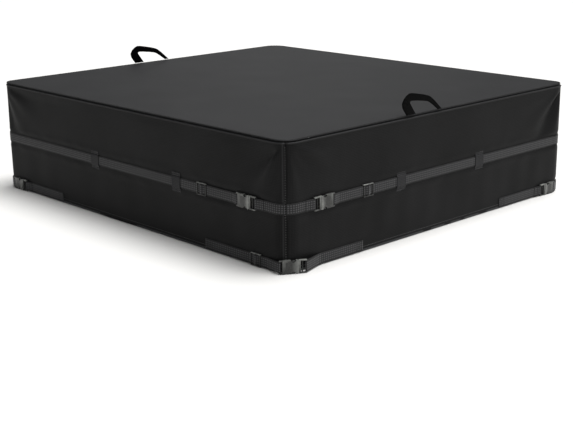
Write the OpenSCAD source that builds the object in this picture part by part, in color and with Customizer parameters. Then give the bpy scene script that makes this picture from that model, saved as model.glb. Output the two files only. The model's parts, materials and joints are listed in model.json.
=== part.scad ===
// Fitted spa cover: a five-panel fabric cap with belts, adjusters and side-release buckles.
// The underside of the top panel lies at z = 0, where it rests on the tub's lid, and +Z is up.
// Faces are numbered anticlockwise from above: 0 front (-Y), 1 right (+X), 2 back (+Y), 3 left (-X).
// Corner k lies between face k and the next face. A place on a face is (s, n): s runs
// anticlockwise from the face's middle, and n runs outwards from the cloth.

/* [Cover] */
// Width over the cloth, left to right
cover_w = 2200; // [2000:10:2400]
// Depth over the cloth, front to back
cover_d = 2000; // [1900:10:2400]
// Drop of the sides below the lid
drop = 565; // [450:5:700]
// Radius of the upright corners
corner_r = 70; // [60:5:90]
// Thickness of the coated cloth
cloth_t = 2; // [1:0.5:3]
// Height of the bound hem
hem_h = 22; // [16:1:30]

/* [Webbing] */
// Width of the belt webbing
web_w = 48; // [38:1:50]
// Thickness of the belt webbing
web_t = 2; // [1.5:0.5:2]
// Height of the middle belts' centre line
mid_z = -290; // [-330:5:-250]
// Length of the anchor straps and lower tails, measured from the corner
anchor_reach = 520; // [420:10:560]
// From the buckle corner to the nearer belt loop of each face
loop_near = 717; // [680:1:760]
// From the buckle corner to the further belt loop on the long faces
loop_far_long = 1355; // [1250:5:1400]
// From the buckle corner to the further belt loop on the short faces
loop_far_short = 1286; // [1200:2:1330]

/* [Buckles] */
// Length of a closed side-release buckle
buckle_len = 120; // [110:1:130]
// Width of a buckle across the webbing
buckle_w = 60; // [58:1:64]
// Thickness of a buckle
buckle_t = 14; // [14:0.5:16]
// How far a plug draws out of its socket
plug_travel = 45; // [40:1:50]
// Length of a tri-glide adjuster along the webbing
glide_len = 62; // [56:1:70]

/* [Handles] */
// Width of the handle webbing
handle_w = 32; // [25:1:38]
// Height of the handle at its taller shoulder, to the webbing's centre line
handle_h = 86; // [70:1:100]
// Distance between the two feet of a handle
handle_span = 198; // [160:2:220]

/* [Hidden] */
$fn = 48;
gap = 0.4;                          // running gap between pieces that lie on each other
layer_1 = gap + web_t / 2;          // middle of the webbing's inner layer, out from the cloth
layer_2 = layer_1 + web_t + 0.5;    // middle of its outer, doubled layer
half_w = cover_w / 2;
half_d = cover_d / 2;
low_z = -drop + web_w / 2 + 4;      // centre line of the lower straps
bar_r = 2.2;                        // round bars that the webbing turns on
turn_r = bar_r + gap + web_t / 2;   // the webbing's own radius round such a bar
bar_n = buckle_t / 2 + 0.6;         // height of those bars above the cloth
bar_inset = 2.6;                    // from a buckle's end to the middle of its end bar
rail_w = (buckle_w - web_w) / 2 - 0.6; // side rails beside the webbing
buckle_low = 0.6;                   // underside of a buckle above the cloth
socket_len = 84;                    // from the bar's end to the socket's mouth
slot_len = 13;                      // opening for the webbing at a socket's bar
flange_len = 24;                    // flat frame round that opening
cavity_w = 46.6;                    // room for the plug inside a socket
cavity_len = 46;                    // and its depth from the mouth
cavity_wall = 2.4;                  // thickness of a socket's broad walls
scallop_u = 62;                     // middle of the side cut-outs, from the bar's end
scallop_r = 11.5;                   // and their radius
shoulder_len = 8;                   // plate that closes the socket's mouth
ladder_u = 101;                     // second cross bar of a plug, from the socket's bar end
tongue_w = 12;                      // guide tongue of a plug
glide_rail = 3;                     // adjusters: thickness of their side rails
glide_bar_r = 2;                    // and radius of their cross bars
double_end = 31;                    // the doubled layer ends this far past its adjuster
corner_turn = 58;                   // heading of a buckle that lies across a corner
corner_back = 50;                   // its bar end, back from where it would touch the corner
strap_lean = corner_turn + 6;       // turn of the webbing at its socket's bar
tail_lean = 90 - corner_turn + 16;  // and at its plug's end bar
corner_bend = 115;                  // where its strap leaves the cloth: distance to the corner
tail_bend = 190;                    // and where its tail meets the cloth
tuck = 46;                          // sewn-back end of a tail, past the plug
mid_bar = [296, 279];               // middle buckles: bar end to corner, long face and short face
mid_glide = [532, 493];             // middle adjusters: centre to corner
low_glide = 182;                    // lower adjusters: centre to corner
low_bar = 75;                       // lower buckles that lie flat: bar end to corner
near_tail_end = 465;                // sewn end of the tail beyond a corner buckle
far_tail_end = 540;                 // sewn end of the tail of a flat lower buckle
handle_y = [-119, 24];              // middles of the right and left handles
handle_n = 3;                       // handle pivot line, out from the cloth
handle_z = 5.2;                     // and its height above the lid
handle_t = 3;                       // handle webbing, pressed and stitched to one thick ply
loop_w = 62;                        // width of a belt loop along the belt
loop_half = 46;                     // half the height of a belt loop
seam_inset = 3.2;                   // edge of the top panel, in from the sides
panel_top = -3.3;                   // upper edge of the side panels, under the piping
lip_h = 2;                          // bottom fold of the hem
hem_n = [-7.5, -5.5, -2];           // inner fold of the hem, and the back of its outer fold
cloth = "#2b2b2d";
trim = "#20282c";
webbing = "#3a3a3c";
plastic = "#4c4d4b";

// Unit vectors along and out of face f, and the face's distance from the middle
function along(f) = [cos(90 * f), sin(90 * f)];
function out(f) = [sin(90 * f), -cos(90 * f)];
function reach(f) = f % 2 == 0 ? half_d : half_w;
function side(f) = f % 2 == 0 ? half_w : half_d;
function on_face(f, s, n) = out(f) * (reach(f) + n) + along(f) * s;

// Round the outside of corner k at radius r, between two angles
function arc_middle(k) = on_face(k, side(k) - corner_r, -corner_r);
function round_corner(k, r, a0, a1, steps = 12) =
    [for (i = [0:steps]) let (a = a0 + (a1 - a0) * i / steps)
        arc_middle(k) + r * (out(k) * cos(a) + along(k) * sin(a))];

// A hardware station is [x, y, heading, direction, z]. Its own coordinates are u, from the socket's
// bar towards the plug, and n, out from the face.
function heading_on(f, s, dir, z) = concat(on_face(f, s, 0), [90 * f, dir, z]);
function corner_heading(k, back, z) =
    let (a = corner_turn + 90 * k, t = [cos(a), sin(a)], n = [sin(a), -cos(a)])
    concat(arc_middle(k) + n * corner_r - t * back, [a, 1, z]);
function at(b, u, n) =
    [b.x + b[3] * u * cos(b[2]) + n * sin(b[2]), b.y + b[3] * u * sin(b[2]) - n * cos(b[2])];

BUCKLES = [
    heading_on(0, half_w - mid_bar[0], 1, mid_z),
    heading_on(1, mid_bar[1] - half_d, -1, mid_z),
    heading_on(2, half_w - mid_bar[0], 1, mid_z),
    heading_on(3, mid_bar[1] - half_d, -1, mid_z),
    corner_heading(0, corner_back, low_z),
    heading_on(1, half_d - low_bar, -1, low_z),
    corner_heading(2, corner_back, low_z),
    heading_on(0, low_bar - half_w, 1, low_z)
];
GLIDES = [
    heading_on(0, half_w - mid_glide[0], 1, mid_z),
    heading_on(1, mid_glide[1] - half_d, -1, mid_z),
    heading_on(2, half_w - mid_glide[0], 1, mid_z),
    heading_on(3, mid_glide[1] - half_d, -1, mid_z),
    heading_on(0, half_w - low_glide, 1, low_z),
    heading_on(2, low_glide - half_w, -1, low_z),
    heading_on(2, half_w - low_glide, 1, low_z),
    heading_on(3, half_d - low_glide, 1, low_z)
];
PLACES = ["mid_front", "mid_right", "mid_back", "mid_left",
    "low_front_right", "low_back_right", "low_back_left", "low_front_left"];

// Webbing turned round a socket's bar (end = 0) or a plug's end bar (end = 1), inner side first,
// and leaning inwards where the buckle lies across a corner
function turned(b, end, lean = 0) =
    [for (a = [-90:22.5:90]) let (u = bar_inset + turn_r * cos(a + lean))
        at(b, end == 0 ? u : buckle_len - u, bar_n + turn_r * sin(a + lean))];
function backwards(list) = [for (i = [len(list) - 1:-1:0]) list[i]];

// The loop of webbing that comes from the face, round a socket's bar, and back through the adjuster
function bar_loop(b, length) = concat(
    [at(b, -30, layer_1)],
    turned(b, 0),
    [at(b, -30, layer_2), at(b, -length, layer_2)]);
function glide_loop(k) = bar_loop(BUCKLES[k], norm([GLIDES[k].x - BUCKLES[k].x, GLIDES[k].y - BUCKLES[k].y])
    + double_end);

// A strip of thickness t along plan points, as a closed outline
function step(p, i) = (p[i + 1] - p[i]) / norm(p[i + 1] - p[i]);
function way(p, i) =
    i == 0 ? step(p, 0) :
    i == len(p) - 1 ? step(p, i - 1) :
    let (v = step(p, i - 1) + step(p, i)) v / norm(v);
function mitre(p, i) = i == 0 || i == len(p) - 1 ? 1 : 1 / (way(p, i) * step(p, i));
function edge(p, t) =
    [for (i = [0:len(p) - 1]) let (v = way(p, i)) p[i] + [-v.y, v.x] * t / 2 * mitre(p, i)];
function outline(p, t) = concat(edge(p, t), backwards(edge(p, -t)));

module strip(points, z) {
    translate([0, 0, z - web_w / 2])
        linear_extrude(web_w)
            polygon(outline(points, web_t));
}

// Plan outline of the cover, moved in or out by n
module plan(n) {
    r = corner_r + n;
    square([cover_w + 2 * n, cover_d - 2 * corner_r], center = true);
    square([cover_w - 2 * corner_r, cover_d + 2 * n], center = true);
    for (x = [-1, 1], y = [-1, 1])
        translate([x * (half_w - corner_r), y * (half_d - corner_r)])
            circle(r, $fn = 96);
}

module ring(n_in, n_out, z0, z1) {
    translate([0, 0, z0])
        linear_extrude(z1 - z0)
            difference() {
                plan(n_out);
                plan(n_in);
            }
}

// The wedge of the plan that belongs to face f, cut at 45 degrees through the upright corners
module face_wedge(f, z0, z1) {
    deep = 3 * corner_r;
    s = side(f);
    translate([0, 0, z0])
        linear_extrude(z1 - z0)
            polygon([on_face(f, -s - 10, 10), on_face(f, s + 10, 10),
                on_face(f, s - deep, -deep), on_face(f, deep - s, -deep)]);
}

// Moves a child from (u, -n, w) into its place on the cover
module placed(b) {
    translate([b.x, b.y, b[4]])
        rotate([0, 0, b[2]])
            rotate([0, b[3] == 1 ? 0 : 180, 0])
                children();
}

// Draws an outline in (u, w) and gives it depth from n0 to n1
module slab(n0, n1) {
    translate([0, -n0, 0])
        rotate([90, 0, 0])
            linear_extrude(n1 - n0)
                children();
}

// Round bar across the webbing
module bar(u, n, r, length) {
    translate([u, -n, -length / 2])
        cylinder(h = length, r = r);
}

module rounded(u0, u1, w, r) {
    translate([u0 + r, -w / 2])
        square([u1 - u0 - 2 * r, w]);
    translate([u0, r - w / 2])
        square([u1 - u0, w - 2 * r]);
    for (u = [u0 + r, u1 - r], y = [r - w / 2, w / 2 - r])
        translate([u, y])
            circle(r);
}

// Coated cloth panels: the top, and four sides that meet at the upright corner seams
module top_panel() {
    color(cloth)
        linear_extrude(cloth_t)
            plan(-seam_inset);
}

module side_panel(f) {
    foot = hem_h - drop;
    color(cloth)
        intersection() {
            ring(-cloth_t, 0, foot, panel_top);
            face_wedge(f, foot, panel_top);
        }
}

// Piped seam that joins the top to the sides
module top_piping() {
    color(trim)
        ring(-2.9, 0.8, -3, cloth_t + 0.4);
}

// Tapes that bind the raw edges of the corner seams on the inside
module corner_bindings() {
    color(trim)
        for (k = [0:3])
            translate([0, 0, hem_h - drop + 2])
                linear_extrude(drop - hem_h - 8)
                    polygon(concat(
                        round_corner(k, corner_r - cloth_t - 0.5, 35, 55, 4),
                        round_corner(k, corner_r - cloth_t - 1.7, 55, 35, 4)));
}

// Binding folded round the lower edge, open above on its inner side to form the elastic's channel
module hem_band() {
    color(trim) {
        ring(hem_n[2], 0, -drop, hem_h - drop);
        ring(hem_n[1], hem_n[2], -drop, lip_h - drop);
        ring(hem_n[0], hem_n[1], -drop, hem_h - drop);
    }
}

module hem_elastic() {
    color("#e4e2da")
        ring(hem_n[1] + 0.6, hem_n[2] - 0.7, lip_h + 2 - drop, hem_h - 6 - drop);
}

// Eight sewn loops that carry the middle belts
module belt_loops() {
    belt = web_w / 2 + 1;
    low = -gap;
    up = -layer_1 - web_t / 2 - gap;
    profile = [[low, -loop_half], [low, -belt - 4], [up, -belt],
        [up, belt], [low, belt + 4], [low, loop_half],
        [low - web_t, loop_half], [low - web_t, belt + 6], [up - web_t, belt + 1],
        [up - web_t, -belt - 1], [low - web_t, -belt - 6], [low - web_t, -loop_half]];
    color(webbing)
        for (f = [0:3], c = [loop_near, f % 2 == 0 ? loop_far_long : loop_far_short])
            placed(heading_on(f, f % 2 == 0 ? half_w - c : c - half_d, 1, mid_z))
                rotate([90, 0, 90])
                    translate([0, 0, -loop_w / 2])
                        linear_extrude(loop_w)
                            polygon(profile);
}

// Lifting handles: flat webbing folded at its shoulders, on a round foot line
module handle(i) {
    half = handle_span / 2;
    low = handle_z + handle_w * 0.06;
    path = [[-half, low], [-half - 34, handle_h * 0.64], [-half - 6, handle_h * 0.96],
        [half - 72, handle_h * 0.69], [half, low]];
    x = (i == 0 ? 1 : -1) * (half_w + handle_n);
    color(webbing)
        translate([x, handle_y[i], 0]) {
            intersection() {
                rotate([90, 0, 90])
                    translate([0, 0, -handle_t / 2])
                        linear_extrude(handle_t)
                            polygon(outline(path, handle_w));
                translate([-5, -half - 80, handle_z])
                    cube([10, 2 * half + 160, 200]);
            }
            for (y = [-half, half])
                translate([0, y - handle_w / 2, handle_z])
                    rotate([-90, 0, 0])
                        cylinder(h = handle_w, r = handle_t / 2);
        }
}

// Doubled cloth inside the sides, behind the feet of each handle
module handle_patches() {
    color(cloth)
        for (i = [0, 1], y = [-handle_span / 2, handle_span / 2])
            translate([(i == 0 ? 1 : -1) * (half_w - cloth_t - 1.1) - 0.7, handle_y[i] + y - 30, -64])
                cube([1.4, 60, 58]);
}

// Long middle belt from the short face f, round the corner after it, to the long face
module belt(f) {
    color(webbing)
        strip(concat(
            backwards(glide_loop(f)),
            round_corner(f, corner_r + layer_1, 0, 90),
            glide_loop((f + 1) % 4)), mid_z);
}

// Lower strap sewn at one end, round its corner, and doubled on the socket's bar
module anchor_strap(k) {
    b = BUCKLES[k];
    g = GLIDES[k];
    end_1 = at(g, low_glide - anchor_reach, layer_1);
    end_2 = at(g, -double_end, layer_2);
    across = k == 4 || k == 6;
    near = low_glide - (across ? corner_bend : corner_r + 6);
    c = k == 5 ? 1 : 3;
    bend_1 = across ? [] : k == 7 ? round_corner(c, corner_r + layer_1, 0, 79) :
        round_corner(c, corner_r + layer_1, 90, 11);
    bend_2 = across ? [] : k == 7 ? round_corner(c, corner_r + layer_2, 70, 0) :
        round_corner(c, corner_r + layer_2, 20, 90);
    color(webbing)
        strip(concat([end_1, at(g, near, layer_1)], bend_1, turned(b, 0, across ? strap_lean : 0), bend_2,
            [at(g, near, layer_2), end_2]), low_z);
}

// Webbing from a plug to its sewn end, turned round the plug's end bar. It ends in a corner seam
// on the middle belts, on the next face beyond a corner buckle, and further along below the others.
module tail(k) {
    b = BUCKLES[k];
    across = k == 4 || k == 6;
    f = k == 4 ? 1 : 3;
    turn = backwards(turned(b, 1, across ? tail_lean : 0));
    tip = buckle_len + tuck;
    flat = tip - 14;
    seam = k % 2 == 0 ? round_corner(k, corner_r + layer_1, 0, 43.5, 6) :
        round_corner((k + 3) % 4, corner_r + layer_1, 90, 46.5, 6);
    first = across ?
        [on_face(f, tail_bend + 10 - side(f), layer_2), on_face(f, tail_bend - side(f), layer_2)] :
        [at(b, tip, layer_2), at(b, flat, layer_2)];
    last = across ?
        [on_face(f, tail_bend - side(f), layer_1), on_face(f, near_tail_end - side(f), layer_1)] :
        k < 4 ? concat([at(b, flat, layer_1)], seam) :
        [at(b, flat, layer_1), at(b, far_tail_end - low_bar, layer_1)];
    color(webbing)
        strip(concat(first, turn, last), b[4]);
}

// Adjuster: a frame round both layers of webbing, with three round cross bars above them
module glide_side(w, top) {
    translate([-glide_len / 2, -top, w])
        cube([glide_len, top - buckle_low, glide_rail]);
}

module triglide(b) {
    inner = web_w + 1.2;
    bars_n = layer_2 + web_t / 2 + gap + glide_bar_r;
    color(plastic)
        placed(b) {
            for (w = [-inner / 2 - glide_rail, inner / 2])
                glide_side(w, bars_n + 1.6);
            for (u = [glide_bar_r - glide_len / 2, 0, glide_len / 2 - glide_bar_r])
                bar(u, bars_n, glide_bar_r, inner + 2);
        }
}

// Socket: hollow shell open at the mouth, with side cut-outs and a round bar for the webbing
module socket_flange() {
    slab(bar_n - 3.6, bar_n + 3.6)
        difference() {
            rounded(0, flange_len, buckle_w, 2);
            translate([-1, rail_w - buckle_w / 2])
                square([slot_len + 1, buckle_w - 2 * rail_w]);
        }
    bar(bar_inset, bar_n, bar_r, buckle_w - 2);
}

module socket(b) {
    color(plastic)
        placed(b)
            difference() {
                union() {
                    slab(buckle_low, buckle_low + buckle_t)
                        rounded(slot_len - 0.5, socket_len, buckle_w, 5);
                    socket_flange();
                }
                slab(buckle_low + cavity_wall, buckle_low + buckle_t - cavity_wall)
                    translate([socket_len - cavity_len, -cavity_w / 2])
                        square([cavity_len + 1, cavity_w]);
                slab(buckle_low - 1, buckle_low + buckle_t + 1)
                    for (w = [-1, 1])
                        translate([scallop_u, w * (buckle_w / 2 + 2)])
                            circle(scallop_r);
                slab(bar_n - 3.4, bar_n + 3.4)
                    translate([scallop_u - scallop_r - 0.5, -buckle_w])
                        square([2 * scallop_r + 1, 2 * buckle_w]);
            }
}

// Plug: shoulder plate, guide tongue, ladder bar and end bar between two side rails
module plug(b) {
    shoulder = socket_len + gap;
    rails = socket_len + shoulder_len;
    color(plastic)
        placed(b) {
            slab(bar_n - 5, bar_n + 5)
                translate([shoulder, -buckle_w / 2])
                    square([shoulder_len, buckle_w]);
            slab(bar_n - 2.5, bar_n + 2.5)
                translate([shoulder + 0.6 - plug_travel, -tongue_w / 2])
                    square([plug_travel, tongue_w]);
            for (w = [-buckle_w / 2, buckle_w / 2 - rail_w])
                slab(bar_n - 4.6, bar_n + 4.6)
                    translate([rails, w])
                        square([buckle_len - rails, rail_w]);
            for (u = [ladder_u, buckle_len - bar_inset])
                bar(u, bar_n, bar_r, buckle_w - 2);
        }
}

// The two springy arms of a plug, whose pads fill the socket's side cut-outs
module latch_arms(b) {
    arm = [[socket_len, 11], [socket_len, 17], [74.5, 20], [73.2, 26], [69, 29], [62, 29.6],
        [55, 28.4], [51, 25], [49, 21], [49, 15], [58, 14], [72, 13.5]];
    color(plastic)
        placed(b)
            slab(bar_n - 3, bar_n + 3)
                for (m = [0, 1])
                    mirror([0, m])
                        polygon(arm);
}

top_panel();
side_panel(0);  // front_panel
side_panel(1);  // right_panel
side_panel(2);  // back_panel
side_panel(3);  // left_panel
top_piping();
corner_bindings();
hem_band();
hem_elastic();
belt_loops();
handle(0);  // right_handle
handle(1);  // left_handle
handle_patches();
belt(3);  // left_belt
belt(1);  // right_belt
anchor_strap(4);  // strap_front_right
anchor_strap(5);  // strap_back_right
anchor_strap(6);  // strap_back_left
anchor_strap(7);  // strap_front_left
for (k = [0:7]) {
    triglide(GLIDES[k]);
    socket(BUCKLES[k]);
    plug(BUCKLES[k]);
    latch_arms(BUCKLES[k]);
    tail(k);
}
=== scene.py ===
import json
import math

import bmesh
import bpy
import numpy as np
from mathutils import Matrix, Vector


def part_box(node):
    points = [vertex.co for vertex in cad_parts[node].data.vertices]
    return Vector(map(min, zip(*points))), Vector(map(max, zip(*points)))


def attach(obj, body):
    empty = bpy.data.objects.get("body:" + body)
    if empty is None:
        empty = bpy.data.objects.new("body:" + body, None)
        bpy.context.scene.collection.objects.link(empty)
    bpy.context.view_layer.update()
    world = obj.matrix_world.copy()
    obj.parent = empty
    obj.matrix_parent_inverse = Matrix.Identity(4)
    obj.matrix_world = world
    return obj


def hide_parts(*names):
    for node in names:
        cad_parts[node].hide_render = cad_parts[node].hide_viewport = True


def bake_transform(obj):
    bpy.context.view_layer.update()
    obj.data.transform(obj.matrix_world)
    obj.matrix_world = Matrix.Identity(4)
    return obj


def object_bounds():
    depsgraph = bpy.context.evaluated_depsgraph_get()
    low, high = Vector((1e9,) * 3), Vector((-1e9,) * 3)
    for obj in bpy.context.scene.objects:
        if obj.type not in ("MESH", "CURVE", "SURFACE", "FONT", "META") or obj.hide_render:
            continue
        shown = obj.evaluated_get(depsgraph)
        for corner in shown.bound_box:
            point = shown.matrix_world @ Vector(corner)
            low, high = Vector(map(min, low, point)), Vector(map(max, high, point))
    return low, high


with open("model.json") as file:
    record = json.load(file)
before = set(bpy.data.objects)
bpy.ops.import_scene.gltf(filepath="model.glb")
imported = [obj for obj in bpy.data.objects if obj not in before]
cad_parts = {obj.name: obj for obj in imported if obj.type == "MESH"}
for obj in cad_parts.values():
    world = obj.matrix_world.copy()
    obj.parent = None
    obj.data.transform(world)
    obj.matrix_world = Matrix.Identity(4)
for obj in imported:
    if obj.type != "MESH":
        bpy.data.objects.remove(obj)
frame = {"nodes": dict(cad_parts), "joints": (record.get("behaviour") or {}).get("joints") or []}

cad_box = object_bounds()
MM = 0.001

# ----------------------------
# Camera: at a standing viewer's height, off the corner where the middle belts buckle, so that
# the front face falls away to the left and the right face to the right.
AZIMUTH = math.radians(46.58)
ELEVATION = math.radians(16.07)
ROLL = math.radians(-0.62)
back_way = Vector((math.sin(AZIMUTH) * math.cos(ELEVATION), -math.cos(AZIMUTH) * math.cos(ELEVATION),
                   math.sin(ELEVATION)))
right_way = Vector((math.cos(AZIMUTH), math.sin(AZIMUTH), 0))
up_way = back_way.cross(right_way)
aim = right_way * 0.033 - up_way * 0.731 + Vector((0, 0, 2 * MM))

DISTANCE = 6.124  # from the camera to its aim, which lies below the cover


def linked(name, data):
    """A new object in the scene."""
    made = bpy.data.objects.new(name, data)
    bpy.context.collection.objects.link(made)
    return made


camera = linked("camera", bpy.data.cameras.new("camera"))
camera.data.sensor_width = 36
camera.data.lens = 73.25
turned = Matrix((right_way, up_way, back_way)).transposed() @ Matrix.Rotation(ROLL, 3, "Z")
camera.matrix_world = Matrix.Translation(aim + back_way * DISTANCE) @ turned.to_4x4()
bpy.context.scene.camera = camera


# ----------------------------
# Floor and light: a pale matt floor under the hem, a broad soft light overhead, a weaker one
# from the right, and a pale surround.
def linear(code):
    """A linear colour from an sRGB hex value such as 2b2b2d."""
    parts = [int(code[i:i + 2], 16) / 255 for i in (0, 2, 4)]
    return tuple(p / 12.92 if p <= 0.04045 else ((p + 0.055) / 1.055) ** 2.4 for p in parts) + (1,)


def add(tree, kind, values=(), **settings):
    """Adds a node, sets its properties, and sets or links its inputs."""
    made = tree.nodes.new(kind)
    for key, value in settings.items():
        setattr(made, key, value)
    for key, value in dict(values).items():
        if isinstance(value, bpy.types.NodeSocket):
            tree.links.new(value, made.inputs[key])
        else:
            made.inputs[key].default_value = value
    return made


def new_material(name):
    """An empty node material with its output, and the tree to fill."""
    made = bpy.data.materials.new(name)
    made.use_nodes = True
    made.node_tree.nodes.clear()
    return made, made.node_tree


def to_surface(tree, **inputs):
    """Ends a material with a principled shader."""
    given = {key.replace("_", " "): value for key, value in inputs.items()}
    shader = add(tree, "ShaderNodeBsdfPrincipled", given)
    add(tree, "ShaderNodeOutputMaterial", {"Surface": shader.outputs[0]})


def colour_mix(tree, share, dark, light):
    """A colour between two, each an sRGB hex value or another node's colour."""
    dark, light = (linear(end) if isinstance(end, str) else end for end in (dark, light))
    return add(tree, "ShaderNodeMix", {0: share, 6: dark, 7: light}, data_type="RGBA").outputs[2]


def combine(tree, operation, *values):
    """The result of a math node."""
    return add(tree, "ShaderNodeMath", dict(enumerate(values)), operation=operation).outputs[0]


def bumped(tree, height, strength, distance):
    """A normal that stands for a fine relief."""
    given = {"Height": height, "Strength": strength, "Distance": distance}
    return add(tree, "ShaderNodeBump", given).outputs[0]


FLOOR_Z = cad_box[0][2] - 0.5 * MM
floor_paint, tree = new_material("matt studio floor")
rays = add(tree, "ShaderNodeLightPath")
# The floor throws back less light than it shows, so that the dark sides stay dark.
paint = colour_mix(tree, rays.outputs["Is Camera Ray"], "c6c5c3", "e6e5e3")
to_surface(tree, Base_Color=paint, Roughness=0.9)
floor_mesh = bpy.data.meshes.new("studio_floor")
FLOOR_HALF = 40
floor_corners = [(x * FLOOR_HALF, y * FLOOR_HALF, FLOOR_Z) for x, y in ((-1, -1), (1, -1), (1, 1), (-1, 1))]
floor_mesh.from_pydata(floor_corners, [], [(0, 1, 2, 3)])
floor_mesh.materials.append(floor_paint)
linked("studio_floor", floor_mesh)

surround = bpy.data.worlds.new("pale surround")
bpy.context.scene.world = surround
surround.use_nodes = True
tree = surround.node_tree
tree.nodes.clear()
lit = add(tree, "ShaderNodeBackground", {"Color": linear("eef0f2"), "Strength": 0.2})
seen = add(tree, "ShaderNodeBackground", {"Color": linear("f4f4f4"), "Strength": 1.0})
rays = add(tree, "ShaderNodeLightPath")
both = add(tree, "ShaderNodeMixShader",
           {0: rays.outputs["Is Camera Ray"], 1: lit.outputs[0], 2: seen.outputs[0]})
add(tree, "ShaderNodeOutputWorld", {"Surface": both.outputs[0]})


def soft_light(name, place, target, size, power):
    """A square area light that faces the target."""
    lamp = bpy.data.lights.new(name, "AREA")
    lamp.shape, lamp.size, lamp.energy = "SQUARE", size, power
    way = Vector(target) - Vector(place)
    made = linked(name, lamp)
    made.matrix_world = Matrix.Translation(place) @ way.to_track_quat("-Z", "Y").to_matrix().to_4x4()


soft_light("right_fill", (5.5, 1.5, 1.8), (1.0, 0, -0.2), 2.5, 32)
soft_light("rear_strip", (-5.0, 4.8, 2.6), (0, 0, 0), 3.5, 14)
soft_light("front_box", (5.4, -6.6, 2.6), (1.0, -1.0, -0.3), 1.6, 26)
ceiling = bpy.data.lights.new("ceiling", "SUN")
ceiling.energy, ceiling.angle = 3.85, math.radians(38)
lamp = linked("ceiling", ceiling)
lamp.matrix_world = Vector((-0.12, -0.22, -1)).to_track_quat("-Z", "Y").to_matrix().to_4x4()
bpy.context.scene.view_settings.view_transform = "Standard"

# ----------------------------
# Side panels: four lengths of coated polyester oxford cloth, joined at the upright corner seams.
# Each hangs from the top seam, wraps half of the rounded corner at either end, and shows soft
# folds fanning from its top corners. The belts press it flat.
low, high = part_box("hem_band")
HALF = (high[1], high[0])  # distance of the long and the short faces from the middle
SIDE = (high[0], high[1])  # half length of those faces
DROP = -low[2]
CORNER_R = (high[0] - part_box("front_panel")[1][0]) / (1 - math.sqrt(0.5))
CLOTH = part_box("top_panel")[1][2]
SEAM_Z = -7 * MM  # upper edge of the sides, below the groove of the top seam
BELT_Z = sum(c[2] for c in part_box("left_belt")) / 2
LOW_Z = sum(c[2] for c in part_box("strap_front_left")) / 2
WEB_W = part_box("left_belt")[1][2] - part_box("left_belt")[0][2]
SEAM_BAND = 12 * MM  # width of the sewn-down allowance beside a corner seam


def face_ways(face):
    """Plan directions along a face, anticlockwise round the cover, and out from it."""
    turn = math.pi / 2 * face
    return np.array([math.cos(turn), math.sin(turn)]), np.array([math.sin(turn), -math.cos(turn)])


def around(face, s):
    """Plan places and outward normals at distances s along a face's panel, from its middle."""
    s = np.asarray(s, float)
    along, out = face_ways(face)
    straight = SIDE[face % 2] - CORNER_R
    angle = np.clip(np.abs(s) - straight, 0, None) / CORNER_R
    middle = out * (HALF[face % 2] - CORNER_R) + along * np.clip(s, -straight, straight)[..., None]
    normal = out * np.cos(angle)[..., None] + along * (np.sign(s) * np.sin(angle))[..., None]
    return middle + normal * CORNER_R, normal


def panel_half(face):
    """Half the length of a face's panel, round to its corner seams."""
    return SIDE[face % 2] - CORNER_R + CORNER_R * math.pi / 4


def ramp(x, a, b):
    """0 at a, 1 at b, and a smooth rise between them."""
    t = np.clip((x - a) / (b - a), 0, 1)
    return t * t * (3 - 2 * t)


def swell(x, y, wave, seed, count=7):
    """Gentle repeatable unevenness from -1 to 1, with waves about this long."""
    dice = np.random.default_rng(seed)
    total = 0
    for _ in range(count):
        way = dice.uniform(0, 2 * math.pi)
        length = wave * dice.uniform(0.7, 1.6)
        total = total + np.sin((x * math.cos(way) + y * math.sin(way)) * 2 * math.pi / length
                               + dice.uniform(0, 2 * math.pi))
    return total / math.sqrt(count) * 0.8


def corner_fan(ds, dz, seed, ridges, size):
    """Folds that spread from a corner: ds and dz are distances along and below it."""
    dice = np.random.default_rng(seed)
    r = np.hypot(ds, dz) + 1e-6
    angle = np.arctan2(dz, ds)
    reach_out = ramp(r, 0.01, 0.09) * (1 - ramp(r, 0.35 * size, size))
    wave = np.sin(angle * ridges * 2 + dice.uniform(0, 6))
    wave = wave + 0.5 * np.sin(angle * ridges * 3.7 + dice.uniform(0, 6))
    return wave * reach_out * np.sin(np.clip(angle, 0, math.pi / 2) * 2) ** 0.6


def strap_press(face, s, z):
    """How firmly webbing lies on the cloth, 0 to 1: belts all round, lower straps at the corners."""
    middle = 1 - ramp(np.abs(z - BELT_Z), 27 * MM, 46 * MM)
    end = SIDE[face % 2] - np.abs(s)
    lower = (1 - ramp(np.abs(z - LOW_Z), 27 * MM, 48 * MM)) * (1 - ramp(end, 0.55, 0.66))
    return np.maximum(middle, lower)


SAG, DRAPE = 2.2, 1.0  # height of the broad unevenness and of upright waves, in mm
FAN_RIGHT, FAN_LEFT = 9.5, 9.0  # of the folds that spread from the top corners
ALLOWANCE, WELT = 2.6, 2.8  # of the sewn-down seam allowance and the fold under the top seam
TUCKED, PRESSED = 4.2, 0.7  # depth of the edges in their seams, and of cloth under webbing


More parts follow.
